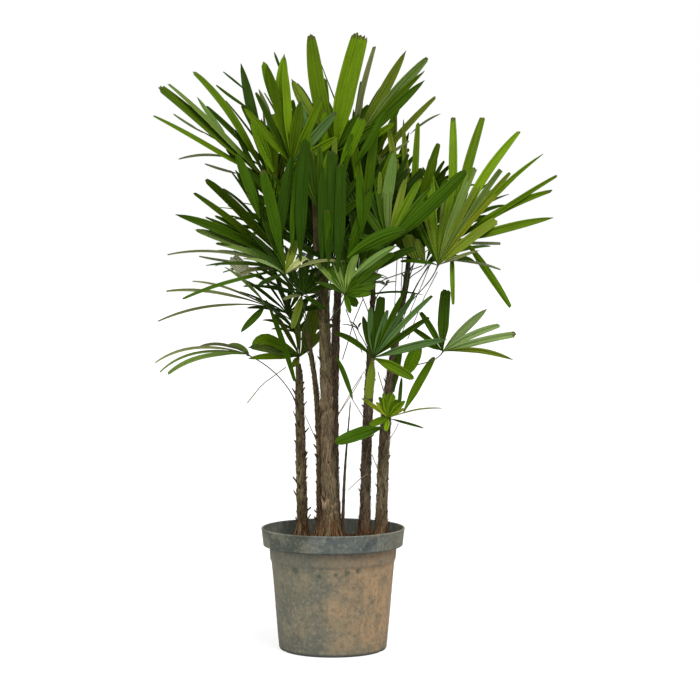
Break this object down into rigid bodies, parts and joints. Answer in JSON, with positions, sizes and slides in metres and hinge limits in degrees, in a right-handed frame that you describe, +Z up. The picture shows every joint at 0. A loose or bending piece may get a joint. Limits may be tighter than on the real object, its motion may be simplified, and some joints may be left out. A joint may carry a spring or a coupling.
{
  "type": "potted lady palm",
  "caption": "Clump-forming lady palm with slim fibrous cane stems and fan-shaped fronds, in a round tapered nursery pot filled with soil.",
  "frame": {"origin": "centre of the pot's flat underside", "axes": "+Z up along the pot's axis, -Y towards the plant's front, +X to the right seen from the front"},
  "size_m": [0.954, 0.7235, 1.4803],
  "materials": {
    "pot": "weathered grey-green plastic with pale mineral stains and tan soil stains, darker slate rim",
    "soil": "rough brown potting soil with bits of bark and root fibre",
    "stem": "cane wrapped in dark brown woven sheath fibre, with rings and old stalk stubs",
    "leaf": "satin green leaf blade with lengthwise ribs, paler below, with dry brown tips"
  },
  "bodies": {
    "root": {"frond_far_right_back": "leaf", "frond_far_right_back_fan": "leaf", "frond_far_right_big_fan": "leaf", "frond_far_right_front_fan": "leaf", "frond_far_right_inner": "leaf", "frond_far_right_low_fan": "leaf", "frond_far_right_rising": "leaf", "frond_far_right_small_fan": "leaf", "frond_far_right_upright": "leaf", "frond_left_back_fan": "leaf", "frond_left_far_fan": "leaf", "frond_left_low_fan": "leaf", "frond_main_back_left": "leaf", "frond_main_back_low": "leaf", "frond_main_crown_back": "leaf", "frond_main_crown_left": "leaf", "frond_main_front_high": "leaf", "frond_main_front_left": "leaf", "frond_main_front_low": "leaf", "frond_main_left_drooping": "leaf", "frond_main_left_rising": "leaf", "frond_main_side_left": "leaf", "frond_main_top_fan": "leaf", "frond_main_top_left": "leaf", "frond_main_top_right": "leaf", "frond_main_upper_left": "leaf", "frond_main_upper_left_back": "leaf", "frond_rear_back": "leaf", "frond_rear_back_left": "leaf", "frond_rear_back_low": "leaf", "frond_rear_back_right": "leaf", "frond_rear_crown_right": "leaf", "frond_rear_left": "leaf", "frond_rear_right_rising": "leaf", "frond_rear_top_back": "leaf", "frond_right_back": "leaf", "frond_right_back_low": "leaf", "frond_right_front": "leaf", "frond_right_front_high": "leaf", "frond_right_inner": "leaf", "frond_right_low_back": "leaf", "frond_right_low_front": "leaf", "frond_slim_back": "leaf", "frond_slim_front_fan": "leaf", "frond_slim_left_fan": "leaf", "pot": "pot", "root_ball": "soil", "stem_far_right": "stem", "stem_left": "stem", "stem_main": "stem", "stem_rear": "stem", "stem_right": "stem", "stem_slim": "stem", "young_shoot": "stem"}
  },
  "joints": []
}
